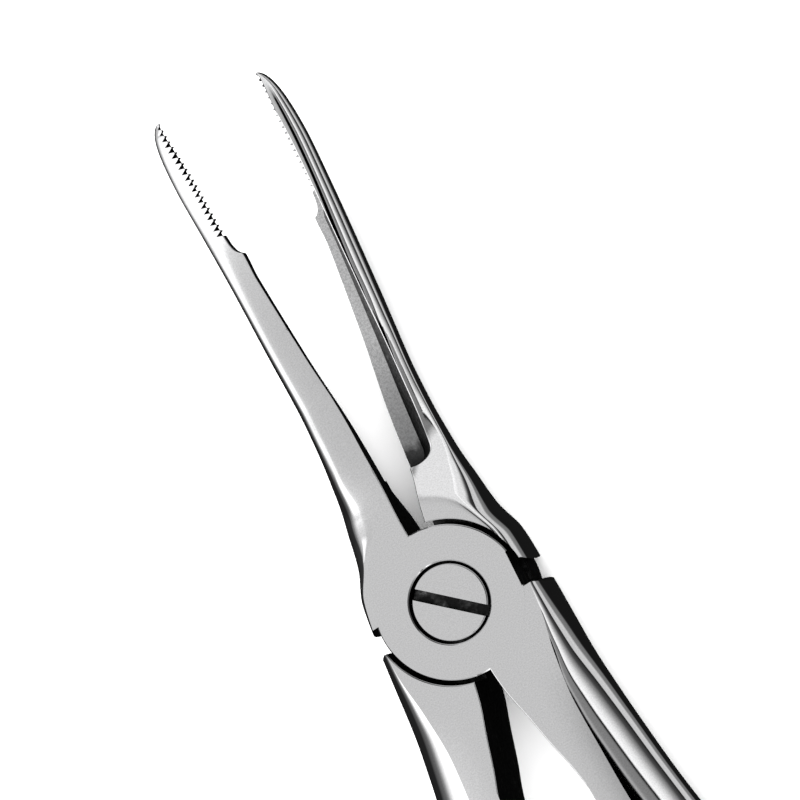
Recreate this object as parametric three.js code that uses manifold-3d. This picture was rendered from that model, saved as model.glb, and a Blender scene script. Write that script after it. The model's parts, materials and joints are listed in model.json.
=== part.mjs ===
// Root-splinter extraction forceps: two half-lapped steel levers that turn on one slotted screw.
// Millimetres. +Z is up along the screw, +Y runs from the screw to the jaw tips, and the levers
// open in the XY plane. The origin is on the screw axis, in the plane of the flat underside.

import * as THREE from 'three';
import { mergeVertices } from 'three/addons/utils/BufferGeometryUtils.js';
import Module from 'manifold-3d';

const wasm = await Module();
wasm.setup();

// Driving dimensions ---------------------------------------------------------------------------

const THICKNESS = 9;            // joint and handles, along the screw
const MID = THICKNESS / 2;
const HALF_OPENING = 5.7;       // degrees each lever stands open from the closed position
const LAP_GAP = 0.3;            // between the two lapped faces
const DISC_RADIUS = 7.85;       // round half-thickness boss of each lever
const RECESS_RADIUS = 8.35;     // turned recess that the other lever's boss sits in
const JAW_SHOULDER = 0.8;       // where the full-thickness jaw begins
const HANDLE_SHOULDER = -2.2;   // where the full-thickness handle begins
const JAW_TIP = 56.8;
const TIP_SET = 0.6;            // the finished tips stand this far to the left of the centre line
const TIP_SET_START = 36;
const HANDLE_END = -115;
const HANDLE_END_ROUND = 4.5;
const HANDLE_CROWN = 5;         // half height of the ellipse that rounds a handle's outer side
const WALL_DRAFT = 0.27;        // lean of a handle's inner wall, each side of mid height

const GOUGE_START = 14;         // the hollow of the jaw
const GOUGE_END = 55.4;
const GOUGE_RUNOUT = 1.7;       // length of its rounded end
const WALL_RUN = 0.45;          // its steep wall's share of its width
const GOUGE_END_WIDTH = 0.4;    // share of its width that it ends with, by the joint
const SIDE_DRAFT = 0.12;        // the jaw's lower half narrows towards its face,
const DRAFT_START = 1;          // from this far under the middle plane

const TOOTH_FIRST = 43.9;
const TOOTH_LAST = 56.3;
const TOOTH_COUNT = 20;
const TOOTH_DEPTH = 0.6;
const TOOTH_SHARE = 0.4;        // deepest share of the jaw's width that a notch takes
const TOOTH_TRIM = 0.04;        // taken off the lip before the teeth are cut

const HEAD_RADIUS = 3.9;        // joint screw
const HEAD_HEIGHT = 2.1;
const SLOT_WIDTH = 1.15;
const SLOT_DEPTH = 1.1;
const SLOT_ANGLE = -38;         // degrees from the +X axis
const HEAD_SINK = 0.03;         // the head's face lies this far under the lever's
const HEAD_BEVEL = 0.12;
const JOURNAL_RADIUS = 3.1;     // plain part that the upper lever turns on
const THREAD_RADIUS = 2.6;      // threaded part in the lower lever
const SCREW_GAP = 0.3;

const SIDE_POINTS = 13;         // points around a half of a section's rounded side
const CIRCLE_SEGMENTS = 56;
const FAR = 12;                 // reaches past any section

// Cuts beside the joint, as [x, y] corners: the ends of the jaw's and handle's full thickness,
// and the flat on the boss.
const JAW_END_CUT = [[0, 1.75], [8.3, 1.75], [9.7, 0.7], [FAR, 0.7], [FAR, -1], [0, -1]];
const HANDLE_END_CUT = [[0, -2.6], [-8.2, -2.6], [-9.7, -3.5], [-FAR, -3.5], [-FAR, 0], [0, 0]];
const BOSS_FLAT = [[-7.55, 1.3], [-FAR, 1.3], [-FAR, -2.45], [-7.2, -2.45]];

// Outlines of one lever, closed: distance from the centre line against Y ------------------------

const jawOuter = smooth([
  [0.8, 9.1], [4.6, 8.4], [7.8, 7], [11.3, 6.05], [15.4, 5], [20, 4.28], [25, 3.9], [31.2, 3.52],
  [37.9, 3.15], [45.3, 2.78], [49.1, 2.55], [52, 2.2], [54, 1.82], [55.3, 1.42], [56.1, 1.02],
  [56.6, 0.6], [56.8, 0.25],
]);

// Lower half: depth under the middle plane, where its face ends, and how square its shoulder is.
const jawLowerHeight = smooth([
  [0.8, 4.5], [10, 4.5], [13, 4.4], [16, 4.14], [20, 3.74], [29, 2.85], [38, 2.08], [45, 1.7],
  [52, 1.45], [55.5, 1.15], [56.8, 0.6],
]);
const jawLowerFlat = smooth([
  [0.8, 8.1], [5, 7.2], [6.5, 6.1], [7.8, 5.2], [9, 4.2], [10.35, 3.2], [11.7, 2.4], [13.5, 1.2],
  [16, 0.5], [56.8, 0],
]);
const jawLowerSquareness = smooth([[0.8, 2], [13, 2], [17, 3.6], [22, 5.2], [36, 5.5], [56.8, 5]]);
const jawLowerEdge = smooth([
  [0.8, 0], [8, 0], [14, -0.33], [20, -0.42], [29, -0.1], [38, 0], [41.05, -0.2], [41.2, 0],
  [41.5, 0.25], [42, 0.45], [42.8, 0.55], [43.6, 0.55], [50, 0.14], [54.5, -0.02], [56.8, -0.1],
]);

// Upper half: a roof that falls away from its inner edge.
const jawUpperHeight = smooth([
  [0.8, 4.5], [8, 4.5], [12, 4.1], [15, 3.95], [20, 3.5], [29, 2.45], [34, 1.95], [38, 1.75],
  [45, 1.5], [52, 1.35], [55.5, 0.95], [56.8, 0.5],
]);
const jawUpperSlope = smooth([
  [0.8, 0], [5, 0.15], [9, 0.5], [12, 0.69], [16, 0.69], [22, 0.62], [27, 0.5], [34, 0.32], [56.8, 0.26],
]);
const jawUpperSquareness = smooth([
  [0.8, 5], [9, 4], [13, 6], [17, 14], [24, 10], [30, 4.5], [36, 3.2], [56.8, 3],
]);
const jawUpperEdge = smooth([
  [0.8, 0.5], [8, 0.5], [14, 0.85], [20, 0.9], [38, 0.78], [44, 0.95], [50, 0.7], [54, 0.5],
  [56, 0.35], [56.8, 0.05],
]);
const gougeEdge = smooth([
  [14, 3.5], [20, 3.15], [25, 2.8], [33, 2.15], [38, 1.75], [44, 1.35], [50, 0.95], [53, 0.6],
  [55.4, 0.25],
]);
const gougeFloor = smooth([
  [14, 3.3], [20, 3.6], [25, 3.8], [31, 4], [38, 4.1], [44, 4.1], [50, 4.2], [55.4, 4.3],
]);

const handleOuter = smooth([
  [-115, 12.9], [-108, 14.6], [-100, 15.9], [-90, 17], [-80, 17.4], [-70, 17], [-60, 15.8], [-50, 14],
  [-40, 12], [-30, 10.3], [-24.5, 9.75], [-20, 9.47], [-16, 9.26], [-11, 9.1], [-7, 9.18], [-2, 9.25],
]);
const handleFlat = smooth([
  [-115, 10], [-108, 10.4], [-100, 11.2], [-90, 12.2], [-80, 12.6], [-70, 12.2], [-60, 11], [-50, 9.2],
  [-40, 7.2], [-30, 5.5], [-26.3, 5.1], [-20.1, 5.27], [-15.1, 5.5], [-9.6, 6.48], [-5.5, 7.56], [-2, 8.1],
]);
const handleInner = smooth([
  [-115, 7.4], [-108, 7.4], [-100, 8.3], [-90, 9.4], [-80, 9.8], [-70, 9.4], [-60, 8.2], [-50, 6.5],
  [-40, 4.8], [-30, 3.3], [-24.7, 2.6], [-20, 2], [-17.5, 1.5], [-14, 0.95], [-10, 0.3], [-8, 0.2],
  [-2, 0.2],
]);

// Helpers --------------------------------------------------------------------------------------

// Smooth curve through [at, value] stations, without overshoot between them.
function smooth(stations) {
  const last = stations.length - 1;
  const slope = stations.slice(1).map(([at, value], i) => (value - stations[i][1]) / (at - stations[i][0]));
  const tangent = stations.map((station, i) => {
    if (i === 0) return slope[0];
    if (i === last) return slope[last - 1];
    const [before, after] = [slope[i - 1], slope[i]];
    return before * after <= 0 ? 0 : (2 * before * after) / (before + after);
  });
  return (at) => {
    const clamped = Math.min(Math.max(at, stations[0][0]), stations[last][0]);
    let i = 0;
    while (i < last - 1 && clamped > stations[i + 1][0]) i += 1;
    const span = stations[i + 1][0] - stations[i][0];
    const t = (clamped - stations[i][0]) / span;
    const rise = t * t * (3 - 2 * t);
    return stations[i][1] * (1 - rise) + stations[i + 1][1] * rise
      + span * t * (1 - t) * ((1 - t) * tangent[i] - t * tangent[i + 1]);
  };
}

function evenly(from, to, count) {
  return Array.from({ length: count }, (_, i) => from + ((to - from) * i) / (count - 1));
}

// Points [across, up] of a unit superellipse between two directions, in radians from its side.
function superellipse(squareness, start, end, count) {
  return evenly(start, end, count).map((angle) => {
    const across = Math.max(0, Math.cos(angle));
    const up = Math.max(0, Math.sin(angle));
    const reach = (across ** squareness + up ** squareness) ** (-1 / squareness);
    return [reach * across, reach * up];
  });
}

function signedVolume(positions, indices) {
  const [a, b, c] = [new THREE.Vector3(), new THREE.Vector3(), new THREE.Vector3()];
  let total = 0;
  for (let i = 0; i < indices.length; i += 3) {
    a.fromArray(positions, indices[i] * 3);
    b.fromArray(positions, indices[i + 1] * 3);
    c.fromArray(positions, indices[i + 2] * 3);
    total += a.dot(b.cross(c)) / 6;
  }
  return total;
}

// Closed solid through sections that all have the same number of [x, z] points.
function loft(stations, sectionAt) {
  const positions = [];
  const indices = [];
  const sections = stations.map(sectionAt);
  const size = sections[0].length;
  sections.forEach((section, row) => {
    section.forEach(([x, z]) => positions.push(x, stations[row], z));
  });
  for (let row = 0; row < sections.length - 1; row += 1) {
    for (let i = 0; i < size; i += 1) {
      const a = row * size + i;
      const b = row * size + ((i + 1) % size);
      indices.push(a, b, a + size, b, b + size, a + size);
    }
  }
  [0, sections.length - 1].forEach((row) => {
    const outline = sections[row].map(([x, z]) => new THREE.Vector2(x, z));
    const flip = row === 0 ? 1 : -1;
    const ccw = THREE.ShapeUtils.isClockWise(outline) ? -1 : 1;
    THREE.ShapeUtils.triangulateShape(outline, []).forEach(([a, b, c]) => {
      const face = flip * ccw > 0 ? [a, c, b] : [a, b, c];
      indices.push(...face.map((i) => i + row * size));
    });
  });
  return solidFromArrays(positions, indices);
}

function solidFromArrays(positions, indices) {
  if (signedVolume(positions, indices) < 0) {
    for (let i = 0; i < indices.length; i += 3) {
      [indices[i + 1], indices[i + 2]] = [indices[i + 2], indices[i + 1]];
    }
  }
  const mesh = new wasm.Mesh({
    numProp: 3,
    vertProperties: new Float32Array(positions),
    triVerts: new Uint32Array(indices),
  });
  return new wasm.Manifold(mesh);
}

function solidFrom(geometry) {
  const bare = geometry.clone();
  bare.deleteAttribute('normal');
  bare.deleteAttribute('uv');
  const merged = mergeVertices(bare, 1e-4);
  return solidFromArrays(Array.from(merged.attributes.position.array), Array.from(merged.index.array));
}

function geometryFrom(solid) {
  const { vertProperties, triVerts } = solid.getMesh();
  const geometry = new THREE.BufferGeometry();
  geometry.setAttribute('position', new THREE.BufferAttribute(new Float32Array(vertProperties), 3));
  geometry.setIndex(Array.from(triVerts));
  geometry.computeVertexNormals();
  return geometry;
}

// Upright cylinder on the screw axis.
function post(radius, bottom, top, segments = CIRCLE_SEGMENTS) {
  const geometry = new THREE.CylinderGeometry(radius, radius, top - bottom, segments);
  geometry.rotateX(Math.PI / 2);
  geometry.translate(0, 0, (top + bottom) / 2);
  return solidFrom(geometry);
}

// Upright prism over an outline of [x, y] points.
function prism(outline, bottom, top) {
  const shape = new THREE.Shape(outline.map(([x, y]) => new THREE.Vector2(x, y)));
  const geometry = new THREE.ExtrudeGeometry(shape, { depth: top - bottom, bevelEnabled: false });
  geometry.translate(0, 0, bottom);
  return solidFrom(geometry);
}

// Lever ----------------------------------------------------------------------------------------
// One forging serves for both levers: the jaw on +X, the handle on -X, the boss in the lower half
// and the recess in the upper half. The upper lever is the same forging turned over about Y.

function jawSection(y) {
  const outer = jawOuter(y);
  const flat = jawLowerFlat(y);
  const below = superellipse(jawLowerSquareness(y), Math.PI / 2, 0, SIDE_POINTS).map(([across, up]) => {
    const depth = jawLowerHeight(y) * up;
    const draft = y > GOUGE_START ? SIDE_DRAFT * Math.max(0, depth - DRAFT_START) : 0;
    return [flat + (outer - flat) * across - draft, MID - depth];
  });
  const edge = jawUpperEdge(y);
  const above = superellipse(jawUpperSquareness(y), 0, Math.PI / 2, SIDE_POINTS).slice(1);
  const roof = above.map(([across, up]) => {
    const run = (outer - edge) * across;
    return [edge + run, MID + (jawUpperHeight(y) - jawUpperSlope(y) * run) * up];
  });
  const lap = MID - LAP_GAP / 2;
  const step = [[edge, lap], [jawLowerEdge(y), lap]];
  return [[jawLowerEdge(y), below[0][1]], ...below, ...roof, ...step];
}

function jaw() {
  const stations = [
    ...evenly(JAW_SHOULDER, 13, 10),
    ...evenly(15, 40, 12),
    ...evenly(41, 43.4, 7),
    ...evenly(45, 53, 5),
    ...evenly(54, JAW_TIP, 7),
  ];
  return loft(stations, jawSection).subtract(prism(JAW_END_CUT, -1, THICKNESS + 1));
}

// The hollow is open above the lower lip and towards the other jaw.
function gouge() {
  const stations = [
    ...evenly(GOUGE_START, GOUGE_START + GOUGE_RUNOUT, 7),
    ...evenly(GOUGE_START + 2 * GOUGE_RUNOUT, GOUGE_END, 12),
  ];
  return loft(stations, (y) => {
    const run = Math.min(1, (y - GOUGE_START) / GOUGE_RUNOUT);
    const fullness = THREE.MathUtils.lerp(GOUGE_END_WIDTH, 1, Math.sqrt(1 - (1 - run) ** 2));
    const start = jawLowerEdge(y);
    const edge = THREE.MathUtils.lerp(start, gougeEdge(y), fullness);
    const foot = edge - (edge - start) * WALL_RUN;
    return [[-FAR, FAR], [-FAR, gougeFloor(y)], [foot, gougeFloor(y)], [edge, THICKNESS - 2], [edge, FAR]];
  });
}

// Saw teeth along the edge of the lower lip, with narrow flat tips.
function teeth() {
  const pitch = (TOOTH_LAST - TOOTH_FIRST) / (TOOTH_COUNT - 1);
  const halfMouth = pitch * 0.48;
  const halfBand = pitch * 0.52;
  return evenly(TOOTH_FIRST, TOOTH_LAST, TOOTH_COUNT).map((y) => {
    const edge = jawLowerEdge(y) + TOOTH_TRIM;
    const root = edge + Math.min(TOOTH_DEPTH, TOOTH_SHARE * jawOuter(y));
    const mouth = edge - 0.1;
    const notch = prism([[root, y], [mouth, y + halfMouth], [mouth, y - halfMouth]], 0, MID);
    const far = edge - 1;
    const band = [[edge, y - halfBand], [edge, y + halfBand], [far, y + halfBand], [far, y - halfBand]];
    return notch.add(prism(band, 0, MID));
  });
}

function handleSection(y) {
  const closing = Math.max(0, (HANDLE_END + HANDLE_END_ROUND - y) / HANDLE_END_ROUND);
  const fullness = Math.sqrt(1 - Math.min(0.98, closing) ** 2);
  const middle = (handleOuter(y) + handleInner(y)) / 2;
  const squeeze = (x) => middle + (x - middle) * fullness;
  const outer = handleOuter(y);
  const edgeAngle = Math.asin(MID / HANDLE_CROWN);
  const reach = (outer - handleFlat(y)) / (1 - Math.cos(edgeAngle));
  const side = evenly(-edgeAngle, edgeAngle, SIDE_POINTS).map((angle) => [
    squeeze(outer - reach * (1 - Math.cos(angle))),
    MID + HANDLE_CROWN * Math.sin(angle),
  ]);
  const inner = handleInner(y);
  const section = [[squeeze(inner - WALL_DRAFT), 0], ...side, [squeeze(inner + WALL_DRAFT), THICKNESS]];
  return section.map(([x, z]) => [-x, z]);
}

function handle() {
  const turns = evenly(0, Math.PI / 2, 7);
  const end = turns.map((angle) => HANDLE_END + HANDLE_END_ROUND * (1 - Math.cos(angle)));
  const stations = [...end, ...evenly(-107, -30, 16), ...evenly(-26.5, HANDLE_SHOULDER, 11)];
  return loft(stations, handleSection).subtract(prism(HANDLE_END_CUT, -1, THICKNESS + 1));
}

function lever() {
  const lap = MID - LAP_GAP / 2;
  const boss = post(DISC_RADIUS, 0, lap).subtract(prism(BOSS_FLAT, -1, THICKNESS + 1));
  const recess = post(RECESS_RADIUS, lap, THICKNESS + 1);
  let body = jaw().subtract(gouge());
  teeth().forEach((notch) => {
    body = body.subtract(notch);
  });
  return body.add(handle()).add(boss).subtract(recess);
}

// Joint screw ----------------------------------------------------------------------------------

function jointScrew() {
  const top = THICKNESS - HEAD_SINK;
  const profile = [
    [0, 0], [THREAD_RADIUS, 0], [THREAD_RADIUS, MID + LAP_GAP / 2], [JOURNAL_RADIUS, MID + LAP_GAP / 2],
    [JOURNAL_RADIUS, THICKNESS - HEAD_HEIGHT], [HEAD_RADIUS, THICKNESS - HEAD_HEIGHT],
    [HEAD_RADIUS, top - HEAD_BEVEL], [HEAD_RADIUS - HEAD_BEVEL, top], [0, top],
  ];
  const corners = profile.map(([r, z]) => new THREE.Vector2(r, z));
  const geometry = new THREE.LatheGeometry(corners, CIRCLE_SEGMENTS);
  geometry.rotateX(Math.PI / 2);
  const slot = new THREE.BoxGeometry(2 * FAR, SLOT_WIDTH, 2 * SLOT_DEPTH);
  slot.rotateZ(THREE.MathUtils.degToRad(SLOT_ANGLE));
  slot.translate(0, 0, THICKNESS);
  return solidFrom(geometry).subtract(solidFrom(slot));
}

// The bore and head seat open on the turned-over lever's own underside.
function screwSeat() {
  const head = post(HEAD_RADIUS + SCREW_GAP, -1, HEAD_HEIGHT + SCREW_GAP);
  return head.add(post(JOURNAL_RADIUS + SCREW_GAP, -1, THICKNESS + 1));
}

function screwHole() {
  return post(THREAD_RADIUS + SCREW_GAP, -1, THICKNESS + 1);
}

// Assembly -------------------------------------------------------------------------------------

function steel(color, roughness) {
  return new THREE.MeshStandardMaterial({ color, roughness, metalness: 1 });
}

// Moves the last stretch of a jaw sideways, along the lever's own X.
function setTips(geometry, direction) {
  const { position } = geometry.attributes;
  for (let i = 0; i < position.count; i += 1) {
    const run = Math.max(0, (position.getY(i) - TIP_SET_START) / (JAW_TIP - TIP_SET_START));
    position.setX(i, position.getX(i) + direction * TIP_SET * run ** 2);
  }
}

function named(name, geometry, material) {
  const mesh = new THREE.Mesh(geometry, material);
  mesh.name = name;
  return mesh;
}

const forging = lever();

const lowerForm = geometryFrom(forging.subtract(screwHole()));
setTips(lowerForm, -1);
const lowerLever = named('lower_lever', lowerForm, steel(0xb9babc, 0.2));
lowerLever.rotation.z = THREE.MathUtils.degToRad(-HALF_OPENING);

const upperForm = geometryFrom(forging.subtract(screwSeat()));
setTips(upperForm, 1);
const upperLever = named('upper_lever', upperForm, steel(0xc6c7c9, 0.2));
upperLever.rotation.y = Math.PI;
upperLever.position.z = THICKNESS;
const upperSide = new THREE.Group();
upperSide.rotation.z = THREE.MathUtils.degToRad(HALF_OPENING);
upperSide.add(upperLever);

const screw = named('joint_screw', geometryFrom(jointScrew()), steel(0xcfcfd0, 0.3));

const group = new THREE.Group();
group.add(lowerLever, upperSide, screw);

export default group;
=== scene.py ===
# Root-splinter extraction forceps: polished and satin-ground stainless steel on a pale floor.
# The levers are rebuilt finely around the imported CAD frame, from the same driving outlines.
# Lever outlines are in millimetres in the closed position; everything placed is in metres.

import json
import math

import bmesh
import bpy
import numpy as np
from mathutils import Matrix, Vector


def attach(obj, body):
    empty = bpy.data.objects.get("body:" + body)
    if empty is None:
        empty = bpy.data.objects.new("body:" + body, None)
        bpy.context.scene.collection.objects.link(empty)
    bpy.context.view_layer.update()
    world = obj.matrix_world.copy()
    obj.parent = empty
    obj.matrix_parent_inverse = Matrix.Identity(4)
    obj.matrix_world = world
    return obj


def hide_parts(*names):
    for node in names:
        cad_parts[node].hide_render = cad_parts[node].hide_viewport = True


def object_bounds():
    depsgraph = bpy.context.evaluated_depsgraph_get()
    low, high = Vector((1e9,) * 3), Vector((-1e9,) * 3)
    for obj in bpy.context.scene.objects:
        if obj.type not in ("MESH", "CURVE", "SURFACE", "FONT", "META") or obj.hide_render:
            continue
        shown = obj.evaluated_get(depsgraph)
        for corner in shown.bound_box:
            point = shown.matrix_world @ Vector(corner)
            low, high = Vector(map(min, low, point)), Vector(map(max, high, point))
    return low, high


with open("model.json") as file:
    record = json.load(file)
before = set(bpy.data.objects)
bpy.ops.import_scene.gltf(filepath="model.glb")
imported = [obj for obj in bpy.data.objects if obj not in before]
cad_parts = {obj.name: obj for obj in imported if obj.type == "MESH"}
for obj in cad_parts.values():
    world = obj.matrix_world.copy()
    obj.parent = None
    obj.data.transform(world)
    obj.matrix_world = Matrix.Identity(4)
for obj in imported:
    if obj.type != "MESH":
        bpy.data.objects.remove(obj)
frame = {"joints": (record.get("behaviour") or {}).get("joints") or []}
cad_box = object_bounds()

# Driving dimensions, in millimetres and degrees ------------------------------------------------

MM = 0.001
THICKNESS = 9.0             # joint and handles, along the screw
MID = THICKNESS / 2
HALF_OPENING = 5.7          # each lever's lean from the closed position, at rest
LAP_GAP = 0.3
DISC_RADIUS = 7.85
RECESS_RADIUS = 8.35
JAW_SHOULDER = 0.8
HANDLE_SHOULDER = -2.2
JAW_TIP = 56.8
TIP_SET = 0.6               # the finished tips stand this far to one side
TIP_SET_START = 36.0
HANDLE_END = -115.0
HANDLE_END_ROUND = 4.5
EDGE_ROUND = 0.12           # small radius left by polishing on every free edge
FAR = 12.0                  # reaches past any section

# The lower half of a jaw. From ROOT_END to twice that, its shoulder goes from round to square.
ROOT_END = 12.0
SIDE_DRAFT = 0.12           # it narrows towards its face,
TOP_BOW = 0.025             # and its face is slightly crowned
LEAST_RISE = 0.05           # keeps the points of the root's crease in place where it has gone
LEAST_ROLL = 0.01

# The upper half: a cone falls away from the level ledge round the recess and meets the jaw's roof.
LEDGE_CENTRE = (-0.9, 1.6)
LEDGE_RADIUS = 9.5
LEDGE_SLOPE = 0.69
LEDGE_SLOPE_AHEAD = 0.38    # towards the jaw's tip
LEDGE_BLEND = 1.5
LEDGE_ROLL = 0.4

# The hollow along the jaw's inner side.
GOUGE_START = 14.0
GOUGE_END = 55.4
GOUGE_RUNOUT = 1.7          # length of its rounded end
GOUGE_END_WIDTH = 0.4       # share of its width that it ends with, by the joint
GOUGE_OVERLAP = 0.02        # keeps its first section open
WALL_RUN = 0.45             # its steep wall's share of its width
WALL_BOW = 0.35
FLOOR_SLOPE = 0.08
RIM_TURN = 0.2              # the rim is this much flatter than the roof beyond it
RIM_PAST = 0.04             # the cut runs this far beyond it
RIM_BREAK = (0.07, 0.03)    # its broken inner edge, across and down

TOOTH_FIRST = 43.9
TOOTH_LAST = 56.3
TOOTH_COUNT = 20
TOOTH_DEPTH = 0.72
TOOTH_SHARE = 0.4           # deepest share of the jaw's width that a notch takes
TOOTH_TRIM = 0.04           # taken off the lip before the teeth are cut
TOOTH_MOUTH = 0.48          # half widths of a notch and of the band trimmed with it, of the pitch
TOOTH_BAND = 0.52
TOOTH_REACH = 1.0           # the band reaches this far beyond the lip,
MOUTH_REACH = 0.1           # and the notch this far

POLISH = 0.02               # the polished handle is this much smaller than its forging
WALL_DRAFT = 0.27           # lean of a handle's inner wall, each side of mid height
ROLL_WIDTH = 3.0            # the handle's flats roll down slightly beside their outer edge
END_CLOSING = 0.98          # the handle's end stops this near to its own middle line

HEAD_RADIUS = 3.9
HEAD_HEIGHT = 2.1
HEAD_SINK = 0.03            # the head's face lies this far under the lever's
SLOT_WIDTH = 1.15
SLOT_DEPTH = 1.1
SLOT_ANGLE = -38.0
JOURNAL_RADIUS = 3.1
THREAD_RADIUS = 2.6
SCREW_GAP = 0.3

# Cuts beside the joint, as (x, y) corners: the ends of the jaw's and handle's full thickness, and
# the flat on the boss.
JAW_END_CUT = ((0, 1.75), (8.3, 1.75), (9.7, 0.7), (FAR, 0.7), (FAR, -1), (0, -1))
HANDLE_END_CUT = ((0, -2.6), (-8.2, -2.6), (-9.7, -3.5), (-FAR, -3.5), (-FAR, 0), (0, 0))
BOSS_FLAT = ((-7.55, 1.3), (-FAR, 1.3), (-FAR, -2.45), (-7.2, -2.45))
CUT_FROM, CUT_TO = -1, THICKNESS + 1       # heights that cut right through a lever

PIVOT = Vector(frame["joints"][0]["pos_m"])


# Outlines of one lever: distance from the centre line against Y ---------------------------------

def smooth(*stations):
    """A smooth curve through (at, value) stations, without overshoot between them."""
    at, value = np.array(stations, float).T
    slope = np.diff(value) / np.diff(at)
    tangent = np.concatenate([slope[:1], np.zeros(len(slope) - 1), slope[-1:]])
    before, after = slope[:-1], slope[1:]
    rising = before * after > 0
    total = np.where(rising, before + after, 1.0)
    tangent[1:-1] = np.where(rising, 2 * before * after / total, 0.0)

    def curve(where):
        clamped = min(max(where, at[0]), at[-1])
        i = int(np.clip(np.searchsorted(at, clamped) - 1, 0, len(slope) - 1))
        span = at[i + 1] - at[i]
        t = (clamped - at[i]) / span
        rise = t * t * (3 - 2 * t)
        bend = span * t * (1 - t) * ((1 - t) * tangent[i] - t * tangent[i + 1])
        return value[i] * (1 - rise) + value[i + 1] * rise + bend

    return curve


jaw_outer = smooth(
    (0.8, 9.1), (4.6, 8.4), (7.8, 7.0), (11.3, 6.1), (15.4, 5), (20, 4.22), (25, 3.8), (31.2, 3.52),
    (37.9, 3.15), (45.3, 2.78), (49.1, 2.55), (52, 2.2), (54, 1.82), (55.3, 1.42), (56.1, 1.02),
    (56.6, 0.6), (56.8, 0.25))

# Lower half: depth under the middle plane, the root's crease, the face's fall and its shoulder.
jaw_lower_height = smooth(
    (0.8, 4.5), (10, 4.5), (13, 4.4), (16, 4.14), (20, 3.74), (29, 2.85), (38, 2.08),
    (45, 1.7), (52, 1.45), (55.5, 1.15), (56.8, 0.6))
jaw_lower_rise = smooth(
    (0.8, 1.2), (6.5, 1.26), (9, 1.5), (10.35, 1.4), (11.7, 1.23), (13, 0.92), (14.5, 0.62),
    (16, 0.37), (18, 0.15), (20, 0.05), (23, 0))
crease_roll = smooth((0.8, 0.02), (7, 0.02), (12, 1), (56.8, 1))
jaw_lower_slope = smooth(
    (0.8, 0), (13, 0), (18, -0.04), (26, -0.04), (36, 0.06), (41, 0.17), (46, 0.34), (56.8, 0.42))
jaw_lower_squareness = smooth((0.8, 2.3), (12, 2.3), (17, 3.7), (22, 5.2), (36, 5.5), (56.8, 5))
jaw_lower_flat = smooth(
    (0.8, 7), (5, 5), (6.5, 3.4), (7.8, 1.6), (9, -0.6), (10.35, -2.2), (11.7, -2.6), (13.5, -2),
    (16, -0.5), (20, 0.4), (22, 0.5), (56.8, 0))
jaw_lower_edge = smooth(
    (0.8, 0), (8, 0), (14, -0.33), (20, -0.42), (29, -0.1), (38, 0), (41.05, -0.2), (41.2, 0),
    (41.5, 0.25), (42, 0.45), (42.8, 0.55), (43.6, 0.55), (50, 0.14), (54.5, -0.02), (56.8, -0.1))
jaw_wall_lean = smooth((0.8, 0.25), (20, 0.25), (38, 0.1), (43, 0))

# Upper half: a roof that falls away from its inner edge.
jaw_upper_height = smooth(
    (0.8, 3.7), (12, 3.4), (15, 3.35), (20, 3.3), (29, 2.45), (34, 1.92), (38, 1.82), (45, 1.65),
    (52, 1.4), (55.5, 0.95), (56.8, 0.5))
jaw_upper_slope = smooth(
    (12, 0.69), (16, 0.69), (22, 0.62), (27, 0.5), (34, 0.1), (40, 0.05), (56.8, 0.05))
jaw_upper_squareness = smooth(
    (0.8, 5), (9, 4), (13, 6), (17, 14), (24, 10), (30, 4), (36, 2.4), (56.8, 2.3))
jaw_upper_edge = smooth(
    (0.8, 0.5), (8, 0.5), (14, 0.85), (20, 0.9), (38, 0.78), (44, 0.95), (50, 0.7), (54, 0.5),
    (56, 0.35), (56.8, 0.05))

# The hollow: where its wall meets the roof, the flat rim there, and the height of its floor.
gouge_edge = smooth(
    (14, 3.5), (20, 3.15), (25, 2.8), (33, 2.15), (38, 1.75), (44, 1.35), (50, 0.95), (53, 0.6),
    (55.4, 0.25))
rim_width = smooth((14, 0), (16, 0.1), (20, 0.42), (26, 0.4), (33, 0), (55.4, 0))
gouge_floor = smooth(
    (14, 3.3), (20, 3.6), (25, 3.8), (31, 4.0), (38, 4.1), (44, 4.1), (50, 4.2), (55.4, 4.3))

# Handle: its outer and inner sides, the outer edge of its flats, and how that outer side is rounded.
handle_outer = smooth(
    (-115, 12.9), (-108, 14.6), (-100, 15.9), (-90, 17), (-80, 17.4), (-70, 17), (-60, 15.8), (-50, 14),
    (-40, 12), (-30, 10.3), (-24.5, 9.75), (-20, 9.47), (-16, 9.26), (-11, 9.1), (-7, 9.18), (-2, 9.25))
handle_flat = smooth(
    (-115, 10), (-108, 10.4), (-100, 11.2), (-90, 12.2), (-80, 12.6), (-70, 12.2), (-60, 11),
    (-50, 9.2), (-40, 7.2), (-30, 5.5), (-26.3, 5.1), (-20.1, 5.27), (-15.1, 5.5), (-9.6, 6.48),
    (-5.5, 7.56), (-2, 8.1))
handle_inner = smooth(
    (-115, 7.4), (-108, 7.4), (-100, 8.3), (-90, 9.4), (-80, 9.8), (-70, 9.4), (-60, 8.2), (-50, 6.5),
    (-40, 4.8), (-30, 3.3), (-24.7, 2.6), (-20, 2), (-17.5, 1.5), (-14, 0.95), (-10, 0.3),
    (-8, 0.2), (-2, 0.2))
handle_crown = smooth((-40, 5), (-20, 4.95), (-14, 4.75), (-9, 4.6), (-2, 4.6))
handle_roll = smooth((-115, 0.3), (-20, 0.3), (-14, 0.18), (-9, 0.01), (-2, 0.01))


# Mesh helpers -----------------------------------------------------------------------------------

STEEL, SATIN, MILLED_SHADED, GOUGED_SHADED = 0, 1, 2, 3      # material slots of every lever mesh and of its cutters


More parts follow.
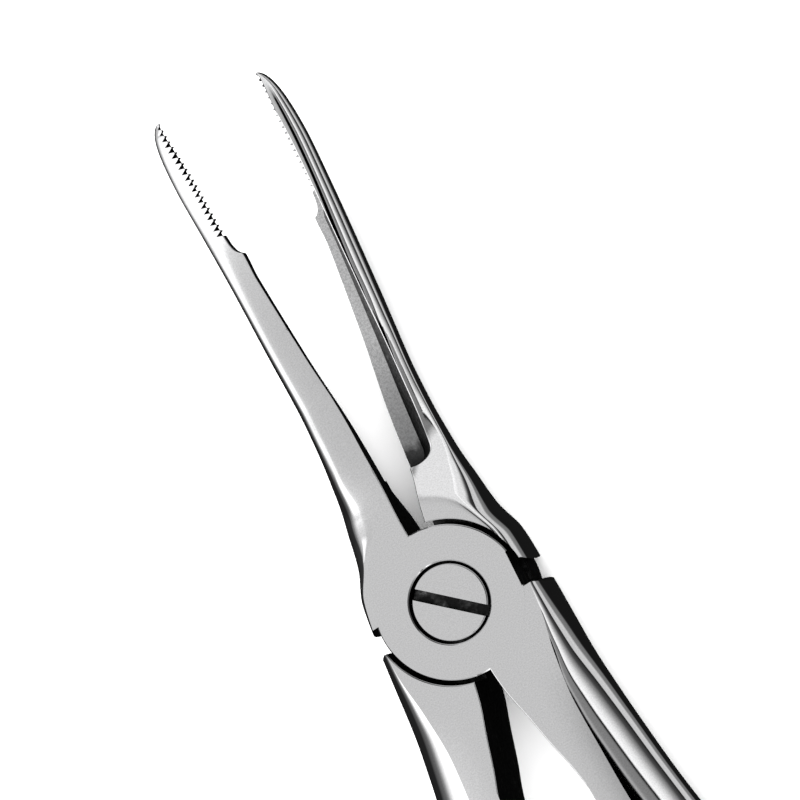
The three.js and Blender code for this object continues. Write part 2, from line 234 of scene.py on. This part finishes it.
def mesh_object(name, points, faces, finishes):
    """A lever mesh or cutter from points in millimetres, with a material slot for each face."""
    mesh = bpy.data.meshes.new(name)
    mesh.from_pydata([Vector(p) * MM for p in points], [], faces)
    mesh.polygons.foreach_set("material_index", finishes)
    for material in lever_materials:
        mesh.materials.append(material)
    work = bmesh.new()
    work.from_mesh(mesh)
    bmesh.ops.recalc_face_normals(work, faces=work.faces)
    work.to_mesh(mesh)
    work.free()
    obj = bpy.data.objects.new(name, mesh)
    bpy.context.scene.collection.objects.link(obj)
    return obj


def loft(name, stations, section_at):
    """A closed solid through sections of (x, z, finish), each with the finish of the strip it starts."""
    sections = [section_at(y) for y in stations]
    size = len(sections[0])
    points = [(x, y, z) for y, section in zip(stations, sections) for x, z, finish in section]
    faces, finishes = [], []
    for row, section in enumerate(sections[:-1]):
        for i in range(size):
            a, b = row * size + i, row * size + (i + 1) % size
            faces.append((a, b, b + size, a + size))
            finishes.append(section[i][2])
    faces += [tuple(range(size)), tuple(range((len(stations) - 1) * size, len(stations) * size))]
    finishes += [MILLED_SHADED, MILLED_SHADED]
    return mesh_object(name, points, faces, finishes)


def turned(name, profile, finishes=None, segments=160):
    """A solid of revolution about the screw's axis. profile runs from axis to axis as (radius, z)."""
    ring = profile[1:-1]
    angles = np.linspace(0, 2 * math.pi, segments, endpoint=False)
    points = [(r * math.cos(a), r * math.sin(a), z) for r, z in ring for a in angles]
    points += [(0, 0, profile[0][1]), (0, 0, profile[-1][1])]
    first, last = len(points) - 2, len(points) - 1
    finishes = finishes or [MILLED_SHADED] * (len(profile) - 1)
    faces, slots = [], []
    for row in range(len(ring) - 1):
        for i in range(segments):
            j = (i + 1) % segments
            below, above = row * segments, (row + 1) * segments
            faces.append((below + i, below + j, above + j, above + i))
            slots.append(finishes[row + 1])
    top = (len(ring) - 1) * segments
    for i in range(segments):
        j = (i + 1) % segments
        faces += [(first, j, i), (last, top + i, top + j)]
        slots += [finishes[0], finishes[-1]]
    return mesh_object(name, points, faces, slots)


def prism(name, outline, bottom, top):
    """An upright solid over an outline of (x, y) points."""
    size = len(outline)
    points = [(x, y, z) for z in (bottom, top) for x, y in outline]
    sides = [(i, (i + 1) % size, size + (i + 1) % size, size + i) for i in range(size)]
    faces = sides + [tuple(range(size)), tuple(range(size, 2 * size))]
    return mesh_object(name, points, faces, [MILLED_SHADED] * len(faces))


def combine(target, tool, operation):
    """Joins a second solid to the target, or cuts it away, and uses it up."""
    modifier = target.modifiers.new("cut", "BOOLEAN")
    modifier.operation = operation
    modifier.solver = "MANIFOLD"
    modifier.object = tool
    bpy.context.view_layer.update()
    evaluated = target.evaluated_get(bpy.context.evaluated_depsgraph_get())
    mesh = bpy.data.meshes.new_from_object(evaluated)
    target.modifiers.clear()
    target.data = mesh
    bpy.data.objects.remove(tool)
    return target


def finish_edges(obj, angle=28.0):
    """Smooth shading, with a sharp edge where faces meet at an angle or where the finish changes."""
    mesh = obj.data
    mesh.polygons.foreach_set("use_smooth", [True] * len(mesh.polygons))
    mesh.set_sharp_from_angle(angle=math.radians(angle))
    work = bmesh.new()
    work.from_mesh(mesh)
    for edge in work.edges:
        if len({face.material_index for face in edge.link_faces}) > 1:
            edge.smooth = False
    work.to_mesh(mesh)
    work.free()


# Steel ------------------------------------------------------------------------------------------

def new_material(name):
    material = bpy.data.materials.new(name)
    material.use_nodes = True
    nodes = material.node_tree.nodes
    return material, nodes, material.node_tree.links, nodes["Principled BSDF"]


def noise(nodes, links, scale, detail, coords, stretch=None):
    texture = nodes.new("ShaderNodeTexNoise")
    texture.inputs["Scale"].default_value = scale
    texture.inputs["Detail"].default_value = detail
    if stretch:
        mapping = nodes.new("ShaderNodeMapping")
        mapping.inputs["Scale"].default_value = stretch
        links.new(coords, mapping.inputs["Vector"])
        coords = mapping.outputs["Vector"]
    links.new(coords, texture.inputs["Vector"])
    return texture.outputs["Fac"]


def remap(nodes, links, value, low, high, to_low, to_high):
    node = nodes.new("ShaderNodeMapRange")
    node.inputs["From Min"].default_value = low
    node.inputs["From Max"].default_value = high
    node.inputs["To Min"].default_value = to_low
    node.inputs["To Max"].default_value = to_high
    links.new(value, node.inputs["Value"])
    return node.outputs["Result"]


def calculate(nodes, links, operation, a, b):
    node = nodes.new("ShaderNodeMath")
    node.operation = operation
    for socket, value in zip(node.inputs, (a, b)):
        if isinstance(value, (int, float)):
            socket.default_value = value
        else:
            links.new(value, socket)
    return node.outputs["Value"]


def blend(nodes, links, factor, a, b):
    node = nodes.new("ShaderNodeMix")
    for socket, value in zip((node.inputs["Factor"], node.inputs["A"], node.inputs["B"]), (factor, a, b)):
        if isinstance(value, (int, float)):
            socket.default_value = value
        else:
            links.new(value, socket)
    return node.outputs["Result"]


def ramp(nodes, links, factor, stops, tint=1.0):
    """Brightness along (position, brightness) stops. The tint multiplies its blue."""
    node = nodes.new("ShaderNodeValToRGB")
    elements = node.color_ramp.elements
    elements.remove(elements[0])
    for row, (position, brightness) in enumerate(stops):
        element = elements[0] if row == 0 else elements.new(position)
        element.position = position
        element.color = (brightness, brightness, brightness * tint, 1)
    links.new(factor, node.inputs["Fac"])
    return node.outputs["Color"]


def bump(nodes, links, height, distance, strength):
    node = nodes.new("ShaderNodeBump")
    node.inputs["Distance"].default_value = distance
    node.inputs["Strength"].default_value = strength
    links.new(height, node.inputs["Height"])
    return node.outputs["Normal"]


STEEL_TINT = 1.007
NOISE_SPAN = (0.3, 0.7)     # most of a noise lies between these

LEVEL_FACE = (0.975, 0.998)  # upright parts of a normal between which a face counts as level
POLISH_GRAIN = 7000         # scales of the grain and of the cloudy wear over it, for each metre
POLISH_CLOUD = 160
POLISH_WEAR = (0.85, 1.15)
POLISH_TONE = ((0.3, 0.73), (0.7, 0.85))

MILLED_GRAIN = 3200
MILLED_STREAK = 900
STREAK_STRETCH = (1.0, 1.0, 4.0)
# Painted shade: these dark tones stand in for the shade in the cutter's walls, slots and bores; the
# streaks between them are the cutter's grain.
MILLED_STREAK_AND_PAINTED_SHADE_TONE = ((0.5, 0.02), (0.66, 0.07), (0.8, 0.4))
MILLED_ROUGHNESS = (0.3, 0.55)
MILLED_BUMP = 0.00004
MILLED_BUMP_STRENGTH = 0.6

GOUGED_GRAIN = 5000
GOUGED_CLOUD = 700
GOUGED_RAGGED = 0.0006      # how far its tones wander along the jaw
# Painted shade along the hollow's floor: darkest at its closed end, lighter towards the tip.
GOUGED_PAINTED_SHADE_TONE = ((0, 0.03), (0.1, 0.07), (0.17, 0.32), (0.6, 0.5), (1, 0.74))
GOUGED_SPECKLE = (0.8, 1.15)
GOUGED_ROUGHNESS = (0.16, 0.3)


def steel(name, mirror, ground, grain_depth):
    """Polished steel. Roughness goes from mirror on tilted faces to ground on level ones."""
    material, nodes, links, shader = new_material(name)
    coords = nodes.new("ShaderNodeTexCoord")
    split = nodes.new("ShaderNodeSeparateXYZ")
    links.new(coords.outputs["Normal"], split.inputs["Vector"])
    facing = calculate(nodes, links, "ABSOLUTE", split.outputs["Z"], 0)
    level = remap(nodes, links, facing, *LEVEL_FACE, mirror, ground)
    grain = noise(nodes, links, POLISH_GRAIN, 2, coords.outputs["Object"])
    cloud = noise(nodes, links, POLISH_CLOUD, 3, coords.outputs["Object"])
    uneven = remap(nodes, links, cloud, *NOISE_SPAN, *POLISH_WEAR)
    links.new(calculate(nodes, links, "MULTIPLY", level, uneven), shader.inputs["Roughness"])
    links.new(ramp(nodes, links, grain, POLISH_TONE, STEEL_TINT), shader.inputs["Base Color"])
    links.new(bump(nodes, links, grain, grain_depth, 1), shader.inputs["Normal"])
    shader.inputs["Metallic"].default_value = 1
    return material


def milled_steel_with_painted_shade():
    """Walls left from the cutter: rougher, with a coarse torn grain, and dark with painted shade, as they
    stand in shade.
    """
    material, nodes, links, shader = new_material("milled_steel_with_painted_shade")
    coords = nodes.new("ShaderNodeTexCoord").outputs["Object"]
    grain = noise(nodes, links, MILLED_GRAIN, 4, coords)
    streak = noise(nodes, links, MILLED_STREAK, 3, coords, stretch=STREAK_STRETCH)
    roughness = remap(nodes, links, grain, *NOISE_SPAN, *MILLED_ROUGHNESS)
    links.new(roughness, shader.inputs["Roughness"])
    links.new(ramp(nodes, links, streak, MILLED_STREAK_AND_PAINTED_SHADE_TONE, STEEL_TINT), shader.inputs["Base Color"])
    links.new(bump(nodes, links, grain, MILLED_BUMP, MILLED_BUMP_STRENGTH), shader.inputs["Normal"])
    shader.inputs["Metallic"].default_value = 1
    return material


def gouged_steel_with_painted_shade():
    """The hollow's floor: satin, with painted shade that darkens it towards its closed end."""
    material, nodes, links, shader = new_material("gouged_steel_with_painted_shade")
    coords = nodes.new("ShaderNodeTexCoord").outputs["Object"]
    split = nodes.new("ShaderNodeSeparateXYZ")
    links.new(coords, split.inputs["Vector"])
    grain = noise(nodes, links, GOUGED_GRAIN, 3, coords)
    cloud = noise(nodes, links, GOUGED_CLOUD, 3, coords)
    wander = remap(nodes, links, cloud, *NOISE_SPAN, -GOUGED_RAGGED, GOUGED_RAGGED)
    ragged = calculate(nodes, links, "ADD", split.outputs["Y"], wander)
    # Painted shade: the floor's colour darkens towards the hollow's closed end, where shade falls; the
    # speckle over it is grain.
    along = remap(nodes, links, ragged, GOUGE_START * MM, 2 * GOUGE_START * MM, 0, 1)
    scaled = nodes.new("ShaderNodeVectorMath")
    scaled.operation = "SCALE"
    links.new(ramp(nodes, links, along, GOUGED_PAINTED_SHADE_TONE, STEEL_TINT), scaled.inputs["Vector"])
    links.new(remap(nodes, links, grain, 0.35, 0.65, *GOUGED_SPECKLE), scaled.inputs["Scale"])
    links.new(scaled.outputs["Vector"], shader.inputs["Base Color"])
    roughness = remap(nodes, links, grain, *NOISE_SPAN, *GOUGED_ROUGHNESS)
    links.new(roughness, shader.inputs["Roughness"])
    shader.inputs["Metallic"].default_value = 1
    return material


lever_materials = [steel("polished_steel", 0.045, 0.12, 0.5e-6), steel("satin_steel", 0.12, 0.17, 2e-6),
                   milled_steel_with_painted_shade(), gouged_steel_with_painted_shade()]


# Lever: jaw on +X, handle on -X, boss in the lower half, recess in the upper half ----------------

SIDE_POINTS = 41
CREASE_POINTS = 13
CORNER_POINTS = 5
WALL_POINTS = 16


def corner(x, z, toward_x, toward_z):
    """A free edge's small radius, from the wall below or above it to the flat beside it."""
    angles = np.linspace(0, math.pi / 2, CORNER_POINTS)
    return [(x + toward_x * EDGE_ROUND * (1 - math.cos(a)), z + toward_z * EDGE_ROUND * (1 - math.sin(a)))
            for a in angles]


def strip(points, finish, last_finish):
    """Section points with the finish of the strips between them, and of the one that follows them."""
    return [(x, z, finish) for x, z in points[:-1]] + [(*points[-1], last_finish)]


def superellipse(squareness, start, end, count):
    """Points (across, up) of a unit superellipse between two directions, in radians."""
    for angle in np.linspace(start, end, count):
        across, up = max(0.0, math.cos(angle)), max(0.0, math.sin(angle))
        reach = (across ** squareness + up ** squareness) ** (-1 / squareness)
        yield reach * across, reach * up


def jaw_upper_top(x, y):
    """Height of the jaw's upper face over the middle plane: the roof, or the cone from the ledge."""
    roof = jaw_upper_height(y) - jaw_upper_slope(y) * (x - jaw_upper_edge(y))
    away = math.hypot(x - LEDGE_CENTRE[0], y - LEDGE_CENTRE[1])
    ahead = ((y - LEDGE_CENTRE[1]) / away) ** 4
    slope = LEDGE_SLOPE + (LEDGE_SLOPE_AHEAD - LEDGE_SLOPE) * ahead
    cone = MID - slope * (away - LEDGE_RADIUS)
    overlap = max(0.0, 1 - abs(roof - cone) / LEDGE_BLEND)
    return max(roof, cone) + LEDGE_BLEND * overlap ** 2 / 4


def soft_least(first, second, roll):
    """The lesser of two heights, with a soft roll between the two where they cross."""
    overlap = max(0.0, 1 - abs(first - second) / roll)
    return min(first, second) - roll * overlap ** 2 / 4


def jaw_upper_surface(x, y):
    edge, squareness = jaw_upper_edge(y) + EDGE_ROUND, jaw_upper_squareness(y)
    across = min(1.0, max(0.0, (x - edge) / (jaw_outer(y) - edge)))
    top = jaw_upper_top(x, y) * (1 - across ** squareness) ** (1 / squareness)
    return MID + soft_least(top, MID, LEDGE_ROLL)


def square(y):
    """From 0 at the jaw's root to 1 where its lower half has a square shoulder."""
    return min(1.0, max(0.0, (y - ROOT_END) / ROOT_END))


def up_at(across, squareness):
    """Height of a unit superellipse at a distance across."""
    return (1 - max(0.0, across) ** squareness) ** (1 / squareness)


def jaw_lower_dome(y):
    """Points (x, up) of the lower half's dome, from its inner edge over the crease and outwards."""
    flat, height, squareness = jaw_lower_flat(y), jaw_lower_height(y), jaw_lower_squareness(y)
    reach = jaw_outer(y) - flat
    inner = jaw_lower_edge(y)
    width = jaw_outer(y) - inner
    level = height / (height + max(jaw_lower_rise(y), LEAST_RISE))
    crease = max(flat + reach * up_at(level, squareness), inner + min(3 * EDGE_ROUND, 0.6 * width))
    inside = np.linspace(inner + min(2 * EDGE_ROUND, 0.4 * width), crease, CREASE_POINTS)
    across = (crease - flat) / reach
    start = math.atan2(up_at(across, squareness), across)
    dome = [(x, up_at((x - flat) / reach, squareness)) for x in inside[:-1]]
    return dome + [(flat + reach * a, up) for a, up in superellipse(squareness, start, 0, SIDE_POINTS)]


def jaw_section(y):
    side = []
    for x, up in jaw_lower_dome(y):
        run = x - jaw_lower_flat(y)
        face = jaw_lower_height(y) - jaw_lower_slope(y) * run - TOP_BOW * run ** 2 * square(y)
        dome, roll = (face + jaw_lower_rise(y)) * up, crease_roll(y) * jaw_lower_rise(y) + LEAST_ROLL
        depth = soft_least(min(MID, face), dome, roll)
        side.append((x - SIDE_DRAFT * depth * square(y), MID - depth))
    edge = jaw_upper_edge(y)
    for across, up in superellipse(jaw_upper_squareness(y), 0, math.pi / 2, 2 * SIDE_POINTS):
        x = edge + EDGE_ROUND + (jaw_outer(y) - edge - EDGE_ROUND) * across
        side.append((x, MID + soft_least(jaw_upper_top(x, y) * up, MID, LEDGE_ROLL)))
    low = corner(jaw_lower_edge(y), side[0][1], 1, 1)
    high = corner(edge, side[-1][1], 1, -1)[::-1]
    lap = MID - LAP_GAP / 2
    step = [(edge, lap), (jaw_lower_edge(y) + jaw_wall_lean(y), lap)]
    section = strip(low, STEEL, STEEL) + strip(side, STEEL, STEEL)
    return section + strip(high[1:] + step, MILLED_SHADED, MILLED_SHADED)


def jaw():
    stations = np.concatenate([np.linspace(JAW_SHOULDER, 18, 120), np.linspace(18.3, 40, 70),
                               np.linspace(40.2, 44, 34), np.linspace(44.3, 53, 30),
                               np.linspace(53.2, JAW_TIP, 30)])
    shoulder = prism("jaw_shoulder_cut", JAW_END_CUT, CUT_FROM, CUT_TO)
    return combine(loft("jaw", stations, jaw_section), shoulder, "DIFFERENCE")


def gouge_section(y):
    run = min(1.0, (y - GOUGE_START + GOUGE_OVERLAP) / GOUGE_RUNOUT)
    fullness = math.sqrt(1 - (1 - run) ** 2)
    start = jaw_lower_edge(y)
    share = GOUGE_END_WIDTH + (1 - GOUGE_END_WIDTH) * fullness
    edge = start + (gouge_edge(y) - start) * share
    rim = edge + rim_width(y) * fullness
    past = rim + RIM_PAST
    top = jaw_upper_surface(rim, y)
    slope = jaw_upper_slope(y) - RIM_TURN
    brink = top + slope * (rim - edge)
    floor = gouge_floor(y)
    foot = edge - (edge - start) * WALL_RUN
    reach, rise = edge - RIM_BREAK[0] - foot, brink - RIM_BREAK[1] - floor
    wall = [(foot + reach * t, floor + rise * ((1 - WALL_BOW) * t + WALL_BOW * t * t))
            for t in np.linspace(0, 1, WALL_POINTS)]
    section = strip([(-FAR, FAR), (-FAR, floor + FLOOR_SLOPE * FAR)], STEEL, GOUGED_SHADED)
    section += strip(wall, MILLED_SHADED, STEEL)
    return section + strip([(edge, brink), (past, top - slope * RIM_PAST), (past, FAR)], STEEL, STEEL)


def gouge():
    """Opens the jaw's upper half from its inner side: a level floor, a steep wall and a narrow rim."""
    ends = GOUGE_START + GOUGE_RUNOUT * (1 - np.cos(np.linspace(0, math.pi / 2, 24)))
    stations = np.concatenate([ends, np.linspace(ends[-1] + 0.3, GOUGE_END, 90)])
    return loft("gouge", stations, gouge_section)


def tooth_cuts():
    """A notch before every tooth, and the band of the lip that is trimmed with it."""
    pitch = (TOOTH_LAST - TOOTH_FIRST) / (TOOTH_COUNT - 1)
    mouth, band = pitch * TOOTH_MOUTH, pitch * TOOTH_BAND
    for y in np.linspace(TOOTH_FIRST, TOOTH_LAST, TOOTH_COUNT):
        edge = jaw_lower_edge(y) + TOOTH_TRIM
        root = edge + min(TOOTH_DEPTH, TOOTH_SHARE * jaw_outer(y))
        near, far = edge - MOUTH_REACH, edge - TOOTH_REACH
        yield prism("notch", [(root, y), (near, y + mouth), (near, y - mouth)], 0, MID)
        corners = [(edge, y - band), (edge, y + band), (far, y + band), (far, y - band)]
        yield prism("band", corners, 0, MID)


def handle_section(y):
    closing = max(0.0, (HANDLE_END + HANDLE_END_ROUND - y) / HANDLE_END_ROUND)
    fullness = math.sqrt(1 - min(END_CLOSING, closing) ** 2)
    outer, inner = handle_outer(y) - POLISH, handle_inner(y)
    middle = (outer + inner) / 2
    drop = handle_roll(y)
    half_height = MID - drop
    limit = math.asin(half_height / handle_crown(y))
    flat = handle_flat(y)
    reach = (outer - flat) / (1 - math.cos(limit))
    roll = [(flat - ROLL_WIDTH * (1 - t), half_height + drop * (1 - t ** 2))
            for t in np.linspace(0, 0.9, 8)]
    side = [(outer - reach * (1 - math.cos(a)), MID + handle_crown(y) * math.sin(a))
            for a in np.linspace(-limit, limit, 2 * SIDE_POINTS)]
    low = corner(inner - WALL_DRAFT, 0, 1, 1)
    high = corner(inner + WALL_DRAFT, THICKNESS, 1, -1)[::-1]
    section = strip(low, STEEL, SATIN)
    section += strip([(x, MID - h) for x, h in roll], SATIN, SATIN)
    section += strip(side, STEEL, SATIN)
    section += strip([(x, MID + h) for x, h in roll[::-1]], SATIN, SATIN)
    section += strip(high, STEEL, MILLED_SHADED)
    return [(-(middle + (x - middle) * fullness), z, finish) for x, z, finish in section]


def handle():
    ends = HANDLE_END + POLISH + HANDLE_END_ROUND * (1 - np.cos(np.linspace(0, math.pi / 2, 16)))
    long_part, joint_part = np.linspace(-110, -32, 110), np.linspace(-31.5, HANDLE_SHOULDER, 80)
    stations = np.concatenate([ends, long_part, joint_part])
    shoulder = prism("handle_shoulder_cut", HANDLE_END_CUT, CUT_FROM, CUT_TO)
    return combine(loft("handle", stations, handle_section), shoulder, "DIFFERENCE")


def boss():
    """The round lower half that fills the other lever's recess."""
    lap = MID - LAP_GAP / 2
    profile = [(0, 0), (DISC_RADIUS - EDGE_ROUND, 0), (DISC_RADIUS, EDGE_ROUND), (DISC_RADIUS, lap),
               (0, lap)]
    disc = turned("boss", profile, [SATIN, STEEL, MILLED_SHADED, MILLED_SHADED])
    return combine(disc, prism("boss_flat", BOSS_FLAT, CUT_FROM, CUT_TO), "DIFFERENCE")


def recess():
    """Cuts the upper half away for the other lever's boss."""
    lap, top = MID - LAP_GAP / 2, THICKNESS + EDGE_ROUND
    profile = [(0, lap), (RECESS_RADIUS, lap), (RECESS_RADIUS, THICKNESS - EDGE_ROUND),
               (RECESS_RADIUS + 2 * EDGE_ROUND, top), (0, top)]
    return turned("recess", profile, [MILLED_SHADED, MILLED_SHADED, STEEL, STEEL])


def lever(name):
    body = combine(jaw(), gouge(), "DIFFERENCE")
    for cut in tooth_cuts():
        body = combine(body, cut, "DIFFERENCE")
    body = combine(body, handle(), "UNION")
    body = combine(body, boss(), "UNION")
    body = combine(body, recess(), "DIFFERENCE")
    body.name = name
    return body


def set_tips(obj, direction):
    """The last stretch of a finished jaw stands slightly to one side."""
    for vertex in obj.data.vertices:
        run = max(0.0, (vertex.co.y / MM - TIP_SET_START) / (JAW_TIP - TIP_SET_START))
        vertex.co.x += direction * TIP_SET * MM * run ** 2


def place(obj, turn):
    finish_edges(obj)
    obj.data.transform(turn)


def lower_lever():
    body = lever("lower_lever_steel")
    bore = THREAD_RADIUS + SCREW_GAP
    hole = turned("thread_hole", [(0, CUT_FROM), (bore, CUT_FROM), (bore, CUT_TO), (0, CUT_TO)])
    combine(body, hole, "DIFFERENCE")
    set_tips(body, -1)
    place(body, Matrix.Rotation(math.radians(-HALF_OPENING), 4, "Z"))
    return body


def screw_seat():
    """The countersink for the head and the plain hole under it, with the lever upside down."""
    journal = JOURNAL_RADIUS + SCREW_GAP
    head = HEAD_RADIUS + SCREW_GAP
    step = HEAD_HEIGHT + SCREW_GAP
    profile = [(0, -EDGE_ROUND), (head + 2 * EDGE_ROUND, -EDGE_ROUND), (head, EDGE_ROUND), (head, step),
               (journal, step), (journal, CUT_TO), (0, CUT_TO)]
    return turned("screw_seat", profile, [STEEL, STEEL, MILLED_SHADED, MILLED_SHADED, MILLED_SHADED, MILLED_SHADED])


def upper_lever():
    body = lever("upper_lever_steel")
    combine(body, screw_seat(), "DIFFERENCE")
    set_tips(body, 1)
    turned_over = Matrix.Translation((0, 0, THICKNESS * MM)) @ Matrix.Rotation(math.pi, 4, "Y")
    place(body, Matrix.Rotation(math.radians(HALF_OPENING), 4, "Z") @ turned_over)
    return body


# Joint screw ------------------------------------------------------------------------------------

def joint_screw():
    top, lap, under_head = THICKNESS - HEAD_SINK, MID + LAP_GAP / 2, THICKNESS - HEAD_HEIGHT
    profile = [(0, 0), (THREAD_RADIUS, 0), (THREAD_RADIUS, lap), (JOURNAL_RADIUS, lap),
               (JOURNAL_RADIUS, under_head), (HEAD_RADIUS, under_head),
               (HEAD_RADIUS, top - EDGE_ROUND), (HEAD_RADIUS - EDGE_ROUND, top), (0, top)]
    finishes = [SATIN, MILLED_SHADED, MILLED_SHADED, MILLED_SHADED, MILLED_SHADED, MILLED_SHADED, STEEL, SATIN]
    screw = turned("joint_screw_steel", profile, finishes)
    half = SLOT_WIDTH / 2
    outline = [(-FAR, -half), (FAR, -half), (FAR, half), (-FAR, half)]
    slot = prism("slot", outline, THICKNESS - SLOT_DEPTH, CUT_TO)
    slot.data.transform(Matrix.Rotation(math.radians(SLOT_ANGLE), 4, "Z"))
    combine(screw, slot, "DIFFERENCE")
    finish_edges(screw)
    return screw


lower = lower_lever()
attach(lower, "lower")
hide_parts("lower_lever")

upper = upper_lever()
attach(upper, "upper")
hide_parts("upper_lever")

screw = joint_screw()
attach(screw, "lower")
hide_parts("joint_screw")


# Stage: pale floor, soft boxes, camera ------------------------------------------------------------

FLOOR_REACH = 3.0
FLOOR_DROP = 0.00005        # under the object's lowest point
FLOOR_TONE = 0.93
FLOOR_LIGHT_HEIGHT = 1.6
FLOOR_LIGHT_POWER = 95


def floor():
    mesh = bpy.data.meshes.new("floor")
    corners = [(x * FLOOR_REACH, y * FLOOR_REACH, 0) for x, y in ((-1, -1), (1, -1), (1, 1), (-1, 1))]
    mesh.from_pydata(corners, [], [(0, 1, 2, 3)])
    plane = bpy.data.objects.new("floor", mesh)
    bpy.context.scene.collection.objects.link(plane)
    plane.location.z = cad_box[0][2] - FLOOR_DROP
    plane.visible_glossy = False
    material, nodes, links, shader = new_material("floor_white")
    shader.inputs["Base Color"].default_value = (FLOOR_TONE, FLOOR_TONE, FLOOR_TONE, 1)
    shader.inputs["Roughness"].default_value = 0.9
    shader.inputs["Specular IOR Level"].default_value = 0.1
    mesh.materials.append(material)


def floor_light():
    """A broad soft light for the floor. Bare metal shows no light that reflections leave out."""
    light = bpy.data.lights.new("floor_light", "AREA")
    light.shape = "SQUARE"
    light.size = FLOOR_REACH
    light.energy = FLOOR_LIGHT_POWER
    obj = bpy.data.objects.new("floor_light", light)
    bpy.context.scene.collection.objects.link(obj)
    obj.location = PIVOT + Vector((0, 0, FLOOR_LIGHT_HEIGHT))
    obj.visible_camera = False
    obj.visible_glossy = False


# The studio around the forceps: long soft boxes and dark gaps, lying parallel to the object.
# Each row is an angle about the object's long axis, from straight up towards +X, and a brightness.
STUDIO = (
    (-180, 0.01), (-107, 0.02), (-99, 0.10), (-90, 0.16), (-84, 0.35), (-77, 0.95), (-68, 1.7),
    (-48, 1.7), (-41, 1.0), (-34, 0.80), (-12, 0.68), (0, 0.60), (10, 0.46), (13, 0.42), (14, 0.0),
    (30, 0.0), (31, 0.55), (34, 0.27), (42, 0.25), (43, 0.01), (45.5, 0.01), (46.5, 1.25), (55, 1.0),
    (66, 0.42), (76, 0.08), (89, 0.01), (90, 0.7), (105, 0.75), (110, 0.25), (122, 0.2), (126, 0.01))
STUDIO_SIDE_END = (6, 23)       # between these angles towards +Y, the left soft boxes go over
STUDIO_SIDE_SPREAD = 2.6        # into a broader one, with softer edges
STUDIO_SIDE_DIM = 0.6           # and at most this bright
STUDIO_AHEAD = (20, 28)         # a soft box ahead of the tips begins between these,
STUDIO_AHEAD_FOOT = (0.15, 0.3)  # with its lower edge here, as the height of a direction
STUDIO_AHEAD_LEVEL = 0.95


def studio():
    world = bpy.data.worlds.new("studio")
    bpy.context.scene.world = world
    world.use_nodes = True
    nodes, links = world.node_tree.nodes, world.node_tree.links
    split = nodes.new("ShaderNodeSeparateXYZ")
    links.new(nodes.new("ShaderNodeTexCoord").outputs["Generated"], split.inputs["Vector"])
    angle = calculate(nodes, links, "ARCTAN2", split.outputs["X"], split.outputs["Z"])
    turn = remap(nodes, links, angle, -math.pi, math.pi, 0, 1)
    stops = [(degrees / 360 + 0.5, brightness) for degrees, brightness in STUDIO]

    def beyond(limits):
        low, high = (math.sin(math.radians(limit)) for limit in limits)
        return remap(nodes, links, split.outputs["Y"], low, high, 0, 1)

    split_color = nodes.new("ShaderNodeSeparateColor")
    links.new(ramp(nodes, links, turn, stops), split_color.inputs["Color"])
    around = split_color.outputs["Red"]
    spread = calculate(nodes, links, "MULTIPLY", around, STUDIO_SIDE_SPREAD)
    dimmed = calculate(nodes, links, "MINIMUM", spread, STUDIO_SIDE_DIM)
    on_left = calculate(nodes, links, "LESS_THAN", split.outputs["X"], 0)
    side_end = calculate(nodes, links, "MULTIPLY", beyond(STUDIO_SIDE_END), on_left)
    level = blend(nodes, links, side_end, around, dimmed)
    overhead = remap(nodes, links, split.outputs["Z"], *STUDIO_AHEAD_FOOT, 0, 1)
    ahead = calculate(nodes, links, "MULTIPLY", beyond(STUDIO_AHEAD), overhead)
    brightest = calculate(nodes, links, "MAXIMUM", around, STUDIO_AHEAD_LEVEL)
    level = blend(nodes, links, ahead, level, brightest)
    links.new(level, nodes["Background"].inputs["Color"])


AXIS_LEAN = 26.5            # the forceps' own axis stands this far to the left of the picture's upright
CAMERA_TILT = 13.0          # the camera leans this far from straight above
TILT_TOWARD = 10.0          # and towards this direction above the picture's right
VIEW_WIDTH = 0.080          # of the picture, at the joint's top face
VIEW_CENTRE = Vector((0.00457, 0.02033, THICKNESS * MM))
CAMERA_DISTANCE = 1.2


def camera():
    """Looks down on the joint with a long lens."""
    upright = Matrix.Rotation(math.radians(-AXIS_LEAN), 3, "Z")
    right, up = upright @ Vector((1, 0, 0)), upright @ Vector((0, 1, 0))
    toward = right * math.cos(math.radians(TILT_TOWARD)) + up * math.sin(math.radians(TILT_TOWARD))
    lean = Matrix.Rotation(math.radians(CAMERA_TILT), 3, Vector((0, 0, 1)).cross(toward))
    right, up, back = lean @ right, lean @ up, lean @ Vector((0, 0, 1))
    data = bpy.data.cameras.new("camera")
    data.sensor_width = 36
    data.lens = data.sensor_width * CAMERA_DISTANCE / VIEW_WIDTH
    data.clip_start = 0.01
    obj = bpy.data.objects.new("camera", data)
    bpy.context.scene.collection.objects.link(obj)
    pose = Matrix((right, up, back)).transposed().to_4x4()
    pose.translation = VIEW_CENTRE + back * CAMERA_DISTANCE
    obj.matrix_world = pose
    bpy.context.scene.camera = obj


floor()
floor_light()
studio()
camera()
bpy.context.scene.view_settings.view_transform = "Standard"
